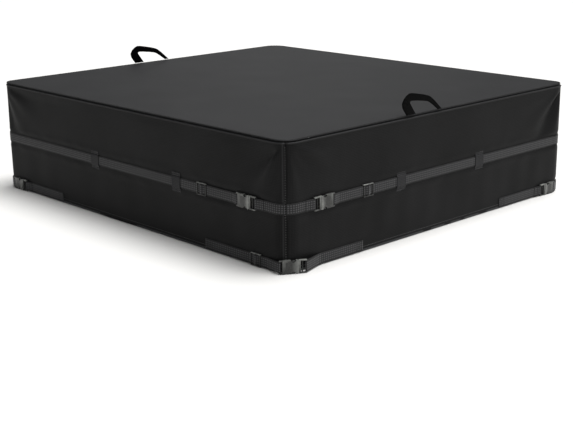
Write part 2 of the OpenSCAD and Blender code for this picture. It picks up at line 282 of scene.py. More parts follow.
def side_relief(face, s, z):
    """How far the cloth stands out from its flat cut, in metres."""
    end = panel_half(face)
    below = SEAM_Z - z
    free = SAG * swell(s, z * 1.5, 0.62, 10 + face)
    free = free + DRAPE * swell(s, z * 0.25, 0.16, 20 + face) * ramp(below, 0.03, 0.4)
    left_size, right_size = (0.42, 0.34) if face % 2 == 0 else (0.30, 0.46)
    free = free + FAN_RIGHT * corner_fan(end - s, below, 30 + face, 3.1, right_size)
    free = free + FAN_LEFT * corner_fan(end + s, below, 40 + face, 2.7, left_size)
    press = strap_press(face, s, z)
    beside = np.exp(-((np.abs(z - BELT_Z) - 44 * MM) / (15 * MM)) ** 2)
    free = free + 1.5 * beside + 0.9 * swell(s, z, 0.11, 50 + face) * beside
    allowance = ramp(s, end - SEAM_BAND - 4 * MM, end - SEAM_BAND + 2 * MM) * (1 - ramp(s, end - 5 * MM, end))
    welt = ramp(below, 0, 4 * MM) * (1 - ramp(below, 5 * MM, 12 * MM))
    tuck = ramp(end - s, 0, 3.5 * MM) * ramp(end + s, 1 * MM, 13 * MM) * ramp(below, 0, 5 * MM)
    free = free * ramp(below, 8 * MM, 60 * MM) * ramp(end - np.abs(s), 6 * MM, 50 * MM)
    free = free * (1 - 0.6 * ramp(below, DROP - 0.1, DROP - 0.02))
    whole = free + ALLOWANCE * allowance + WELT * welt - TUCKED * (1 - tuck)
    return (whole * (1 - press) - PRESSED * press) * MM


def sheet_mesh(name, places, uv, wrap=False):
    """A mesh from a grid of places, rows by columns, with its UV map in metres."""
    rows, columns = places.shape[:2]
    steps = columns if wrap else columns - 1
    ids = np.arange(rows * columns).reshape(rows, columns)
    i, j = np.meshgrid(np.arange(rows - 1), np.arange(steps), indexing="ij")
    k = (j + 1) % columns
    quads = np.stack([ids[i, j], ids[i + 1, j], ids[i + 1, k], ids[i, k]], -1).reshape(-1, 4)
    mesh = bpy.data.meshes.new(name)
    mesh.from_pydata(places.reshape(-1, 3).tolist(), [], quads.tolist())
    layer = mesh.uv_layers.new(name="UVMap")
    corner = np.empty(len(mesh.loops), int)
    mesh.loops.foreach_get("vertex_index", corner)
    layer.data.foreach_set("uv", uv.reshape(-1, 2)[corner].ravel())
    return linked(name, mesh)


def settle(obj, material, smooth=True):
    """Bakes an object's modifiers into a plain mesh at the origin and gives it its material."""
    bpy.context.view_layer.update()
    shown = obj.evaluated_get(bpy.context.evaluated_depsgraph_get())
    mesh = bpy.data.meshes.new_from_object(shown)
    obj.modifiers.clear()
    obj.data = mesh
    mesh.name = obj.name
    mesh.materials.clear()
    mesh.materials.append(material)
    mesh.polygons.foreach_set("use_smooth", [smooth] * len(mesh.polygons))
    return obj


def mark(obj, name, values):
    """Gives every point of a mesh a value from 0 to 1."""
    layer = obj.data.attributes.new(name, "FLOAT", "POINT")
    layer.data.foreach_set("value", np.ravel(values).astype(np.float32))


def thicken(obj, depth):
    """Gives a sheet its thickness, inwards."""
    wall = obj.modifiers.new("thickness", "SOLIDIFY")
    wall.thickness, wall.offset, wall.use_quality_normals = depth, -1, True


def keep(obj, body, slot, *nodes):
    """Rides a finished piece on its body and stands it for its CAD nodes. The slot is not used."""
    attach(obj, body)
    if nodes:
        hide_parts(*nodes)
    return obj


# Woven 600-denier polyester, coated inside: matt, with a faint dry sheen where it is seen edge on.
# The real yarns lie 0.5 mm apart. They are drawn 7 mm apart, so that the weave shows. A mesh
# attribute mixes in a pale grey: a painted highlight along the fold under the top seam and beside
# the corner seams, and painted light that makes the top lighter than the sides.
WEAVE = 7 * MM
BANDS = 0.31416  # a wave texture's period at scale 1, in metres


def weave(tree, place, way, scale, distortion, **more):
    """A wave texture's bands."""
    given = {"Vector": place, "Scale": scale, "Distortion": distortion}
    given.update({key.replace("_", " "): value for key, value in more.items()})
    return add(tree, "ShaderNodeTexWave", given, bands_direction=way).outputs["Fac"]


def noise(tree, place, scale, detail):
    return add(tree, "ShaderNodeTexNoise", {"Vector": place, "Scale": scale, "Detail": detail}).outputs["Fac"]


def woven_cloth(name, dark, light):
    made, tree = new_material(name)
    place = add(tree, "ShaderNodeUVMap", uv_map="UVMap").outputs[0]
    warp = weave(tree, place, "X", BANDS / WEAVE, 0.4, Detail_Scale=0.3)
    weft = weave(tree, place, "Y", BANDS / WEAVE, 0.4, Detail_Scale=0.3)
    yarns = combine(tree, "ADD", combine(tree, "MULTIPLY", warp, weft), noise(tree, place, 260.0, 3.0))
    shade = combine(tree, "ADD", yarns, noise(tree, place, 3.0, 2.0))
    share = add(tree, "ShaderNodeMapRange", {"Value": shade, "From Min": 0.6, "From Max": 2.1})
    colour = colour_mix(tree, share.outputs[0], dark, light)
    # Painted highlight and painted light: a pale grey mixed in where the mesh attribute says.
    painted_light = add(tree, "ShaderNodeAttribute", attribute_name="painted_light")
    colour = colour_mix(tree, painted_light.outputs["Fac"], colour, "707072")
    to_surface(tree, Base_Color=colour, Normal=bumped(tree, yarns, 0.55, 0.5 * MM), Roughness=0.56,
               Specular_IOR_Level=0.16, Sheen_Weight=0.03, Sheen_Roughness=0.4)
    return made


cover_cloth = woven_cloth("coated polyester oxford", "050505", "222223")
FACES = ("front", "right", "back", "left")
BOTTOM_Z = -DROP + 0.8 * MM


def graded(length, fine_start, fine_end, step):
    """Distances from 0 to length: fine ones at either end, and even steps between."""
    inner = np.arange(max(fine_start) + step / 2, length - max(fine_end) - step / 2, step)
    return np.concatenate([fine_start, inner, length - np.array(fine_end)[::-1]])


for face, label in enumerate(FACES):
    end = panel_half(face)
    edge_steps = np.array([0, 1, 2, 3.2, 4.6, 6, 8, 10, 11, 12.5, 14, 15.5, 17, 20, 24, 30]) * MM
    s = graded(2 * end, edge_steps, edge_steps, 9 * MM) - end
    below = graded(SEAM_Z - 1 * MM - BOTTOM_Z, np.array([0, 0.8, 1.6, 2.6, 3.8, 5.2, 7, 9, 11, 13, 16]) * MM,
                   np.array([0, 4, 10]) * MM, 9 * MM)
    S, Z = np.meshgrid(s, SEAM_Z - 1 * MM - below)
    plan, normal = around(face, S)
    relief = side_relief(face, S, Z)[..., None]
    places = np.concatenate([plan + normal * relief, Z[..., None]], -1)
    panel = sheet_mesh(f"{label}_cloth_panel", places, np.stack([S + 3 * face, Z], -1))
    # Painted highlight: pale along the fold just under the top seam and along the sewn-down allowance beside
    # the corner seam.
    along_top = 0.16 * np.exp(-((SEAM_Z - Z - 4.5 * MM) / (2.5 * MM)) ** 2)
    along_seam = 0.13 * np.exp(-((end - S - 11 * MM) / (3.5 * MM)) ** 2)
    mark(panel, "painted_light", np.maximum(along_top, along_seam))
    thicken(panel, 1.2 * MM)
    settle(panel, cover_cloth)
    keep(panel, "cover", "cover_cloth", f"{label}_panel")

# ----------------------------
# Top panel: one flat piece of the same cloth that lies on the lid, rolls over the lid's edge and
# turns into the top seam.
ROLL_R = 4 * MM


def top_places(x, y):
    """Bends a rectangular grid into the rounded outline, and rolls its edge down."""
    cx, cy = SIDE[0] - CORNER_R, SIDE[1] - CORNER_R
    u = np.clip((np.abs(x) - cx) / CORNER_R, 0, 1)
    v = np.clip((np.abs(y) - cy) / CORNER_R, 0, 1)
    px = np.where(u * v > 0, cx + CORNER_R * u * np.sqrt(1 - v * v / 2), np.abs(x)) * np.sign(x)
    py = np.where(u * v > 0, cy + CORNER_R * v * np.sqrt(1 - u * u / 2), np.abs(y)) * np.sign(y)
    over_x, over_y = np.clip(np.abs(px) - cx, 0, None), np.clip(np.abs(py) - cy, 0, None)
    inside = np.clip(CORNER_R - np.hypot(over_x, over_y), 0, CORNER_R)
    bend = np.clip(ROLL_R - inside, 0, ROLL_R)
    drop = ROLL_R - np.sqrt(np.clip(ROLL_R ** 2 - bend ** 2, 0, None))
    rise = 0.9 * swell(px, py, 0.7, 61) + 0.35 * swell(px, py, 0.23, 62)
    rise = rise * ramp(np.minimum(SIDE[0] - np.abs(px), SIDE[1] - np.abs(py)), 0.02, 0.16) - 0.3
    return px, py, CLOTH - drop + rise * MM


edge_steps = np.array([0, 0.15, 0.5, 1.1, 2, 3, 4.2, 7, 11, 17, 24, 32, 42, 55, 70]) * MM
x = graded(2 * SIDE[0], edge_steps, edge_steps, 24 * MM) - SIDE[0]
y = graded(2 * SIDE[1], edge_steps, edge_steps, 24 * MM) - SIDE[1]
X, Y = np.meshgrid(x, y)
px, py, pz = top_places(X, Y)
top = sheet_mesh("top_cloth_panel", np.stack([px, py, pz], -1)[::-1], np.stack([px, py], -1)[::-1])
mesh = bmesh.new()
mesh.from_mesh(top.data)
rim = [e for e in mesh.edges if e.is_boundary]
uv_layer = mesh.loops.layers.uv.active
for inward, down in ((1.0 * MM, 0.5 * MM), (4.4 * MM, 0.6 * MM)):
    new = bmesh.ops.extrude_edge_only(mesh, edges=rim)["geom"]
    verts = [g for g in new if isinstance(g, bmesh.types.BMVert)]
    rim = [g for g in new if isinstance(g, bmesh.types.BMEdge)]
    for vert in verts:
        corner = Vector((math.copysign(min(abs(vert.co.x), SIDE[0] - CORNER_R), vert.co.x),
                         math.copysign(min(abs(vert.co.y), SIDE[1] - CORNER_R), vert.co.y), vert.co.z))
        vert.co += (corner - vert.co).normalized() * inward - Vector((0, 0, down))
    for loop in {loop for vert in verts for loop in vert.link_loops}:
        loop[uv_layer].uv = (loop.vert.co.x, loop.vert.co.y)
bmesh.ops.recalc_face_normals(mesh, faces=mesh.faces)
mesh.to_mesh(top.data)
mesh.free()
TOP_PAINTED_LIGHT = 0.055  # painted light: lightens the top so that it shows lighter than the sides
mark(top, "painted_light", [TOP_PAINTED_LIGHT] * len(top.data.vertices))
thicken(top, 1.2 * MM)
settle(top, cover_cloth)
keep(top, "cover", "cover_cloth", "top_panel")

# ----------------------------
# Rings that run right round the cover: the cord in the top seam, the binding on the hem's edge,
# the inner casing of the hem and the elastic inside it. Each is a constant section.
binding_cloth, tree = new_material("bias binding tape")
place = add(tree, "ShaderNodeTexCoord").outputs["Object"]
ribs = weave(tree, place, "DIAGONAL", BANDS / (2.5 * MM), 1.0)
to_surface(tree, Base_Color=colour_mix(tree, ribs, "121416", "1e2226"), Roughness=0.55,
           Normal=bumped(tree, ribs, 0.4, 0.3 * MM), Sheen_Weight=0.2)

elastic_knit, tree = new_material("knitted rubber elastic")
place = add(tree, "ShaderNodeTexCoord").outputs["Object"]
rows = weave(tree, place, "Z", BANDS / (2 * MM), 0.0)
to_surface(tree, Base_Color=colour_mix(tree, rows, "b9b6ad", "e4e2da"), Roughness=0.8,
           Normal=bumped(tree, rows, 0.5, 0.4 * MM))


def round_trip(step=40 * MM, turn_steps=14):
    """Plan places, normals and distances once round the cover, anticlockwise from the front-left seam."""
    parts, total = [], 0
    for face in range(4):
        end = panel_half(face)
        straight = SIDE[face % 2] - CORNER_R
        middle = np.linspace(-straight, straight, int(2 * straight / step))
        bend = np.linspace(straight, end, turn_steps // 2 + 1)[1:]
        s = np.concatenate([-bend[::-1], middle, bend])[:-1]
        parts.append((*around(face, s), total + s + end))
        total += 2 * end
    return [np.concatenate(part) for part in zip(*parts)]


def closed(made):
    """Welds a swept piece along its seam, caps its open ends and turns its faces outwards."""
    mesh = bmesh.new()
    mesh.from_mesh(made.data)
    bmesh.ops.remove_doubles(mesh, verts=mesh.verts, dist=0.005 * MM)
    rim = [e for e in mesh.edges if e.is_boundary]
    if rim:
        bmesh.ops.holes_fill(mesh, edges=rim, sides=0)
    bmesh.ops.recalc_face_normals(mesh, faces=mesh.faces)
    mesh.to_mesh(made.data)
    mesh.free()
    return made


def ring_piece(name, base, section, material, slot, *nodes):
    """Sweeps a closed section of (out, above base) places, in millimetres, once round the cover."""
    plan, normal, travelled = round_trip()
    section = np.array(section + section[:1]) * MM + (0, base)
    places = np.stack([np.column_stack([plan + normal * n, np.full(len(plan), z)]) for n, z in section])
    girth = np.concatenate([[0], np.cumsum(np.hypot(*np.diff(section, axis=0).T))])
    uv = np.stack(np.meshgrid(travelled, girth), -1)
    made = closed(sheet_mesh(name, places, uv, wrap=True))
    return keep(settle(made, material), "cover", slot, *nodes)


def circle(n, z, r, count=10):
    return [(n + r * math.cos(2 * math.pi * i / count), z + r * math.sin(2 * math.pi * i / count))
            for i in range(count)]


ring_piece("seam_cord", SEAM_Z, circle(-4.8, 0.6, 2.0), cover_cloth, "trim_tape", "top_piping")
ring_piece("hem_edge_binding", -DROP,
           [(-2.6, 9), (-2.6, 1.2), (-1.6, 0.2), (-0.4, 0.2), (0.3, 1.2), (0.3, 8.6), (0.05, 9.2), (-0.3, 9),
            (-0.5, 2), (-1.4, 1.2), (-1.9, 2), (-1.9, 9)], binding_cloth, "trim_tape", "hem_band")
ring_piece("hem_casing", -DROP,
           [(-2.4, 1.4), (-2.4, 0.4), (-5.6, 0.4), (-6.6, 1.6), (-6.9, 12), (-6.4, 21.5), (-5.7, 21.5),
            (-6.0, 12), (-5.8, 2.2), (-5.2, 1.4)], cover_cloth, "cover_cloth")
ring_piece("hem_elastic_band", -DROP, [(-4.6, 4), (-3.0, 4), (-3.0, 16), (-4.6, 16)],
           elastic_knit, "elastic", "hem_elastic")

# ----------------------------
# Webbing: heavy polypropylene belt webbing, woven in ribs across its length between two plain
# selvedges. All of it is one sweep along a plan path, and its UV map is in metres.
WEB_T = 2 * MM
GAP = 0.4 * MM
LAYER_1 = GAP + WEB_T / 2  # middle of the layer that lies on the cloth
LAYER_2 = LAYER_1 + WEB_T + 0.5 * MM  # and of the doubled layer over it
BUCKLE_LOW = 0.6 * MM  # underside of the hardware, out from the cloth
BAR_IN = 2.6 * MM  # middle of an end bar, in from the hardware's end
BAR_R = 2.2 * MM
TURN_R = BAR_R + GAP + WEB_T / 2
RIB = 12 * MM  # the real ribs are 2 mm apart; drawn coarse so that they show
ROW = 9.6 * MM  # and so are the rows that cross them


def webbing_material(name, dark, light, shine=0.3, sheen=0.15):
    """Ribs across the webbing, crossed by a few lengthwise rows, and plain selvedges."""
    made, tree = new_material(name)
    place = add(tree, "ShaderNodeUVMap", uv_map="UVMap").outputs[0]
    split = add(tree, "ShaderNodeSeparateXYZ", {0: place})
    ribs = weave(tree, place, "X", BANDS / RIB, 0.8, Detail_Scale=0.6)
    cells = combine(tree, "MULTIPLY", ribs, weave(tree, place, "Y", BANDS / ROW, 0.4))
    off_edge = combine(tree, "ABSOLUTE", split.outputs["Y"])
    edge = add(tree, "ShaderNodeMapRange", {"Value": off_edge, "From Min": WEB_W / 2 - 5 * MM,
                                            "From Max": WEB_W / 2 - 3.5 * MM})
    relief = combine(tree, "MULTIPLY", cells, combine(tree, "SUBTRACT", 1.0, edge.outputs[0]))
    share = combine(tree, "MULTIPLY_ADD", noise(tree, place, 420.0, 3.0), 0.3, relief)
    to_surface(tree, Base_Color=colour_mix(tree, share, dark, light), Roughness=0.6,
               Normal=bumped(tree, share, 0.8, 0.8 * MM),
               Specular_IOR_Level=shine, Sheen_Weight=sheen, Sheen_Roughness=0.4)
    return made


belt_webbing = webbing_material("ribbed polypropylene webbing", "050505", "58585a")


def resample(points, step):
    """Even steps along a path of plan points, with rounded corners kept as they are."""
    points = np.array(points, float)
    lengths = np.concatenate([[0], np.cumsum(np.linalg.norm(np.diff(points, axis=0), axis=1))])
    count = max(int(round(lengths[-1] / step)), 2)
    at_length = np.linspace(0, lengths[-1], count + 1)
    return np.stack([np.interp(at_length, lengths, points[:, i]) for i in (0, 1)], -1), at_length


def ease(points, radius=5 * MM, steps=4):
    """Rounds the bends of a plan path."""
    points = [np.array(p, float) for p in points]
    eased = [points[0]]
    for before, here, after in zip(points, points[1:], points[2:]):
        a, b = before - here, after - here
        la, lb = np.linalg.norm(a), np.linalg.norm(b)
        near = min(radius, la / 2.1, lb / 2.1)
        start, end = here + a / la * near, here + b / lb * near
        for i in range(steps + 1):
            t = i / steps
            eased.append(start * (1 - t) ** 2 + here * 2 * t * (1 - t) + end * t * t)
    return eased + [points[-1]]


def unit(ways):
    """Directions of length 1."""
    return ways / np.linalg.norm(ways, axis=-1, keepdims=True)


def web_profile(half, thick):
    """The section of a woven strap as (across, out) places, with a groove inside each selvedge."""
    top = [(1.0, 0), (0.985, 0.75), (0.95, 1.0), (0.865, 1.0),
           (0.84, 0.6), (0.81, 0.95), (0.4, 1.06), (0, 1.1)]
    top = top + [(-a, n) for a, n in reversed(top[:-1])]
    under = [(a, -n) for a, n in reversed(top[1:-1])]
    return np.array([(a * half, n * thick / 2) for a, n in top + under])


def strap_piece(name, rows, travelled, across, material):
    """Webbing from rows of closed sections, each with its width across given for the UV map."""
    uv = np.stack(np.meshgrid(travelled, np.append(across, across[0]), indexing="ij"), -1)
    return settle(closed(sheet_mesh(name, rows, uv)), material)


def sweep(name, path, middle_z):
    """Webbing that stands on edge along a plan path; its outer side is to the right of the path."""
    plan, travelled = resample(path, RIB / 4)
    way = unit(np.gradient(plan, axis=0))
    out = np.stack([way[:, 1], -way[:, 0]], -1)
    profile = web_profile(WEB_W / 2, WEB_T)
    ribs = 1 + 0.3 * np.cos(travelled * 2 * math.pi / RIB)
    places = []
    for across, n in profile:
        swell_here = n * (ribs if abs(across) < WEB_W * 0.41 else 1)
        end = np.minimum(travelled, travelled[-1] - travelled)
        thin = np.clip(np.minimum(1, 0.35 + end / (1.5 * MM)), 0, 1)
        places.append(np.column_stack([plan + out * (swell_here * thin)[:, None],
                                       np.full(len(plan), middle_z + across)]))
    return strap_piece(name, np.stack(places + places[:1], 1), travelled, profile[:, 0], belt_webbing)


def node_points(name):
    """A CAD node's points."""
    mesh = frame["nodes"][name].data
    found = np.empty(len(mesh.vertices) * 3)
    mesh.vertices.foreach_get("co", found)
    return found.reshape(-1, 3)


class Station:
    """Where a piece of hardware sits: u runs along the webbing, and n out from the cloth."""

    def __init__(self, node, joint):
        axis = next(j for j in frame["joints"] if j["name"] == joint)["axis"]
        points = node_points(node)
        middle = (points.min(0) + points.max(0)) / 2
        self.along = np.array(axis[:2])
        side = np.array([self.along[1], -self.along[0]])
        self.out = side if side @ middle[:2] > 0 else -side
        flat = points[:, :2]
        u, n = (flat @ self.along).min(), (flat @ self.out).min() - BUCKLE_LOW
        self.length = (flat @ self.along).max() - u
        self.origin = self.along * u + self.out * n
        self.z = middle[2]

    def at(self, u, n):
        return self.origin + self.along * u + self.out * n

    def place(self, u, n, w):
        return np.array([*self.at(u, n), self.z + w])


PLACES = ("mid_front", "mid_right", "mid_back", "mid_left",
          "low_front_right", "low_back_right", "low_back_left", "low_front_left")
socket_at = {p: Station(f"socket_{p}", f"plug_slide_{p}") for p in PLACES}
glide_at = {p: Station(f"triglide_{p}", f"triglide_slide_{p}") for p in PLACES}
PLUG_END = (node_points("plug_mid_front") @ np.array([*socket_at["mid_front"].along, 0])).max() \
    - socket_at["mid_front"].origin @ socket_at["mid_front"].along
BAR_N = 7.6 * MM  # end bars, out from the cloth


def bar_turn(station, end, lean=0.0):
    """The webbing's path round a socket's bar, or a plug's end bar, from the inner layer outwards."""
    points = []
    for a in np.radians(np.arange(-90, 91, 15)):
        u = BAR_IN + TURN_R * math.cos(a + lean)
        points.append(station.at(u if end == 0 else PLUG_END - u, BAR_N + TURN_R * math.sin(a + lean)))
    return points


def corner_path(before, radius_out, start=0, stop=90, steps=10):
    """Plan points round the corner that follows a face, at a height out from the cloth."""
    along, out = face_ways(before)
    middle = out * (HALF[before % 2] - CORNER_R) + along * (SIDE[before % 2] - CORNER_R)
    angles = np.radians(np.linspace(start, stop, steps + 1))
    return [middle + (CORNER_R + radius_out) * (out * math.cos(a) + along * math.sin(a)) for a in angles]


DOUBLED = 31 * MM  # the doubled layer ends this far past its adjuster


def doubled_end(place):
    """From the cloth, round a middle socket's bar, and back through its adjuster."""
    station = socket_at[place]
    glide = glide_at[place]
    back = float(np.linalg.norm(glide.at(glide.length / 2, 0) - station.origin)) + DOUBLED
    return [station.at(-30 * MM, LAYER_1)] + bar_turn(station, 0) + \
        [station.at(-30 * MM, LAYER_2), station.at(-back, LAYER_2)]


# ----------------------------
# Middle belts: two lengths that each run from one socket, round a corner, to the next face's
# socket, through the sewn loops. Both ends turn back through their adjusters.
for name, face, first, last in (("left_belt", 3, "mid_left", "mid_front"),
                                ("right_belt", 1, "mid_right", "mid_back")):
    route = doubled_end(first)[::-1] + corner_path(face, LAYER_1) + doubled_end(last)
    keep(sweep(name + "_webbing", ease(route, 2 * MM), socket_at[first].z), "cover", "webbing", name)

# ----------------------------
# Lower straps: each is sewn to one face above the hem, turns its corner and is doubled on its
# socket's bar, with the adjuster holding the doubled end.
ANCHOR = 520 * MM  # sewn end, from the corner
ADJUSTER = 182 * MM  # an adjuster's middle, from the corner
LOW = PLACES[4:]
NEXT_FACE = {"low_front_right": 1, "low_back_left": 3}  # where a buckle lies across its corner
for place in LOW:
    glide, station = glide_at[place], socket_at[place]
    half = glide.length / 2
    lean, first_bend, last_bend = 0, [], []
    if place in NEXT_FACE:
        lean = math.acos(abs(float(station.along @ glide.along))) + math.radians(6)
        near = half + ADJUSTER - 115 * MM
    else:
        near = half + ADJUSTER - (CORNER_R + 6 * MM)
        before = 1 if place == "low_back_right" else 3
        first_bend = corner_path(before, LAYER_1, *((90, 11) if before == 1 else (0, 79)))
        last_bend = corner_path(before, LAYER_2, *((20, 90) if before == 1 else (70, 0)))
    route = [glide.at(half + ADJUSTER - ANCHOR, LAYER_1), glide.at(near, LAYER_1)] + first_bend + \
        bar_turn(station, 0, lean) + last_bend + \
        [glide.at(near, LAYER_2), glide.at(half - DOUBLED, LAYER_2)]
    name = place.replace("low", "strap")
    keep(sweep(name + "_webbing", ease(route, 2 * MM), station.z), "cover", "webbing", name)

# ----------------------------
# Tails: the short webbing from each plug to its sewn end. Its turned-back end is stitched flat.
TUCK = 46 * MM  # sewn-back end of a tail, past the plug
TAIL_BEND = 190 * MM  # where a corner tail meets the next face, from the corner
TAIL_END = 465 * MM  # and where it is sewn down


def face_place(face, s, n):
    """A plan place at s from a face's first corner, and n out from it."""
    plan, normal = around(face, s - SIDE[face % 2])
    return plan + normal * n


for place in PLACES:
    station = socket_at[place]
    turn = bar_turn(station, 1)[::-1]
    flat = PLUG_END + TUCK - 14 * MM
    head = [station.at(PLUG_END + TUCK, LAYER_2), station.at(flat, LAYER_2)]
    foot_end = [station.at(flat, LAYER_1), station.at(TAIL_END, LAYER_1)]
    if place.startswith("mid"):
        face = PLACES.index(place)
        before, angles = (face, (0, 43.5)) if face % 2 == 0 else (face - 1, (90, 46.5))
        foot_end = [station.at(flat, LAYER_1)] + corner_path(before, LAYER_1, *angles)
    if place in NEXT_FACE:
        face = NEXT_FACE[place]
        turn = bar_turn(station, 1, math.radians(48))[::-1]
        head = [face_place(face, s, LAYER_2) for s in (TAIL_BEND + 10 * MM, TAIL_BEND)]
        foot_end = [face_place(face, s, LAYER_1) for s in (TAIL_BEND, TAIL_END)]
    tail = sweep(f"tail_webbing_{place}", ease(head + turn + foot_end, 2 * MM), station.z)
    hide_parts(f"tail_{place}")
    near_plug = station.place(PLUG_END + 6 * MM, BAR_N, 0)
    far_plug = station.place(PLUG_END + 50 * MM, BAR_N, 0)
    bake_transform(tail)

# ----------------------------
# Belt loops: doubled cloth tabs sewn above and below each middle belt, two on every face.
LOOP_HALF_W = 31 * MM
loop_cloth = woven_cloth("doubled oxford tab", "151516", "454547")
loop_points = node_points("belt_loops")
loop_middle = {face: [] for face in range(4)}
loops = []
belt_half = WEB_W / 2 + 1.5 * MM
LOOP_END = 46 * MM  # ends of a tab, above and below the belt's middle
end_steps = np.array([0, 0.5, 1.5, 3.5, 5]) * MM
upper_rows = np.array([10, 20, 25, 26.5, 28.5, 30.5, 34, 38, 41, 44, 45.6, 46]) * MM
for face, label in enumerate(FACES):
    along, out = face_ways(face)
    plan = loop_points[:, :2]
    order = np.unique(np.round((plan @ along)[plan @ out > HALF[face % 2]], 4))
    for n, group in enumerate(np.split(order, np.where(np.diff(order) > 0.2)[0] + 1)):
        middle = (group.min() + group.max()) / 2
        loop_middle[face].append(middle)
        s = graded(2 * LOOP_HALF_W, end_steps, end_steps, 7 * MM) - LOOP_HALF_W
        S, W = np.meshgrid(s, np.concatenate([-upper_rows[::-1], [0], upper_rows]))
        lift = 1 - ramp(np.abs(W), belt_half - 1 * MM, belt_half + 3.5 * MM)
        hem = ramp(LOOP_HALF_W - np.abs(S), 3 * MM, 4.5 * MM)
        edge = ramp(LOOP_HALF_W - np.abs(S), 0, 0.8 * MM) * ramp(LOOP_END - np.abs(W), 0, 0.6 * MM)
        seam = sum(np.exp(-((np.abs(W) - row * MM) / (1.2 * MM)) ** 2) for row in (30.5, 41))
        stand = 0.6 * MM + 0.9 * MM * edge + lift * (LAYER_2 - 0.4 * MM) + 0.35 * MM * (1 - hem) * edge \
            - 0.35 * MM * seam * (1 - lift) + 0.25 * MM * swell(S, W, 0.05, 300 + face * 2 + n) * lift
        flat = along * (middle + S)[..., None] + out * (HALF[face % 2] + stand)[..., None]
        places = np.concatenate([flat, (BELT_Z + W)[..., None]], -1)
        tab = sheet_mesh(f"belt_loop_{label}_{n + 1}", places[::-1], np.stack([S, W], -1)[::-1])
        thicken(tab, 0.9 * MM)
        settle(tab, loop_cloth)
        loops.append(tab)


def join(pieces, name):
    """Several pieces of one material made into one."""
    mesh = bmesh.new()
    for piece in pieces:
        mesh.from_mesh(piece.data)
    whole = bpy.data.meshes.new(name)
    mesh.to_mesh(whole)
    mesh.free()
    whole.materials.append(pieces[0].data.materials[0])
    for piece in pieces:
        bpy.data.objects.remove(piece)
    return linked(name, whole)


keep(join(loops, "belt_loop_tabs"), "cover", "webbing", "belt_loops")

# ----------------------------
# Lifting handles: one length of narrow webbing each, bent to a rounded outline and sewn down at
# both feet. They hinge on the stitched feet at the top seam, and stand up from it.
handle_webbing = webbing_material("handle webbing", "010101", "0c0c0d", 0.05, 0.0)
HANDLE_W = 32 * MM
HANDLE_HALF = 99 * MM  # half the distance between the feet
HANDLE_H = 86 * MM
OPEN = np.array([1.5, 1.65, 1.1, 0.8, 0.5])  # width that lies open at each point, in webbing widths


def handle_line(side):
    """Where a handle stands, its foot's height, and its middle line in its own plane."""
    low_corner, high_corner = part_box(f"{side}_handle")
    foot_z = low_corner[2] + 1.5 * MM
    points = node_points(f"{side}_handle")
    feet = points[points[:, 2] < foot_z + 0.2 * MM][:, 1]
    low = foot_z + HANDLE_W * 0.06
    line = [(4 * MM - HANDLE_HALF, low - 16 * MM), (-HANDLE_HALF - 48 * MM, HANDLE_H * 0.66),
            (-HANDLE_HALF - 18 * MM, HANDLE_H * 1.02), (HANDLE_HALF - 80 * MM, HANDLE_H * 0.74),
            (HANDLE_HALF + 10 * MM, low - 14 * MM)]
    return (low_corner[0] + high_corner[0]) / 2, foot_z, np.array(line) + ((feet.min() + feet.max()) / 2, 0)


def rounded(rows):
    """Cuts the corners of a line twice, and keeps its ends."""
    for cut in (0.14, 0.25):
        near = rows[:-1] * (1 - cut) + rows[1:] * cut
        far = rows[:-1] * cut + rows[1:] * (1 - cut)
        inner = np.stack([near, far], 1).reshape(len(near) * 2, -1)[1:-1]
        rows = np.concatenate([rows[:1], inner, rows[-1:]])
    return rows


for side in ("right", "left"):
    x, foot_z, path = handle_line(side)
    path = rounded(np.column_stack([path, OPEN]))
    path, open_width = path[:, :2], path[:, 2]
    way = unit(np.diff(path, axis=0))
    mean = unit(np.concatenate([way[:1], way[:-1] + way[1:], way[-1:]]))
    across = np.stack([-mean[:, 1], mean[:, 0]], -1) * open_width[:, None]
    miter = np.concatenate([[1], 1 / np.einsum("ij,ij->i", mean[1:-1], way[1:]), [1]])
    rows, travelled = [], []
    total = 0
    section = web_profile(HANDLE_W / 2, 2.6 * MM)
    for i in range(len(path) - 1):
        length = np.linalg.norm(path[i + 1] - path[i])
        steps = max(int(length / (3 * MM)), 3)
        for k in range(steps + (i == len(path) - 2)):
            t = k / steps
            here = path[i] * (1 - t) + path[i + 1] * t
            spread = across[i] * miter[i] * (1 - t) + across[i + 1] * miter[i + 1] * t
            row = [(x + n, here[0] + spread[0] * a, max(here[1] + spread[1] * a, foot_z - 1 * MM))
                   for a, n in section]
            rows.append(row + row[:1])
            travelled.append(total + t * length)
        total += length
    strap = strap_piece(f"{side}_handle_strap", np.array(rows), travelled, section[:, 0] * 1.5, handle_webbing)
    keep(strap, f"{side}_handle", "webbing", f"{side}_handle")

# ----------------------------
# Inside pieces: doubled cloth behind the handles' feet, and the tapes that bind the corner seams.
# They are CAD solids with their edges softened and their real finish.
def softened(node, name, material, width, segments=2):
    """A merged and bevelled copy of a CAD node."""
    made = frame["nodes"][node].copy()
    made.data = frame["nodes"][node].data.copy()
    made.name = name
    made.parent = None
    made.matrix_world = Matrix.Identity(4)
    bpy.context.collection.objects.link(made)
    mesh = bmesh.new()
    mesh.from_mesh(made.data)
    bmesh.ops.remove_doubles(mesh, verts=mesh.verts, dist=0.01 * MM)
    bmesh.ops.dissolve_limit(mesh, angle_limit=math.radians(2), verts=mesh.verts, edges=mesh.edges)
    mesh.to_mesh(made.data)
    mesh.free()
    bevel = made.modifiers.new("edges", "BEVEL")
    bevel.width, bevel.segments, bevel.limit_method = width, segments, "ANGLE"
    bevel.angle_limit = math.radians(35)
    return settle(made, material)


patches = softened("handle_patches", "handle_patch_cloth", cover_cloth, 0.5 * MM)
keep(patches, "cover", "cover_cloth", "handle_patches")
BEHIND = 2.6 * MM  # the tapes lie behind the tucked-in edges of the panels
tapes = softened("corner_bindings", "corner_seam_tapes", binding_cloth, 0.3 * MM)
for vertex in tapes.data.vertices:
    vertex.co.x -= math.copysign(BEHIND, vertex.co.x)
    vertex.co.y -= math.copysign(BEHIND, vertex.co.y)
keep(tapes, "cover", "trim_tape", "corner_bindings")
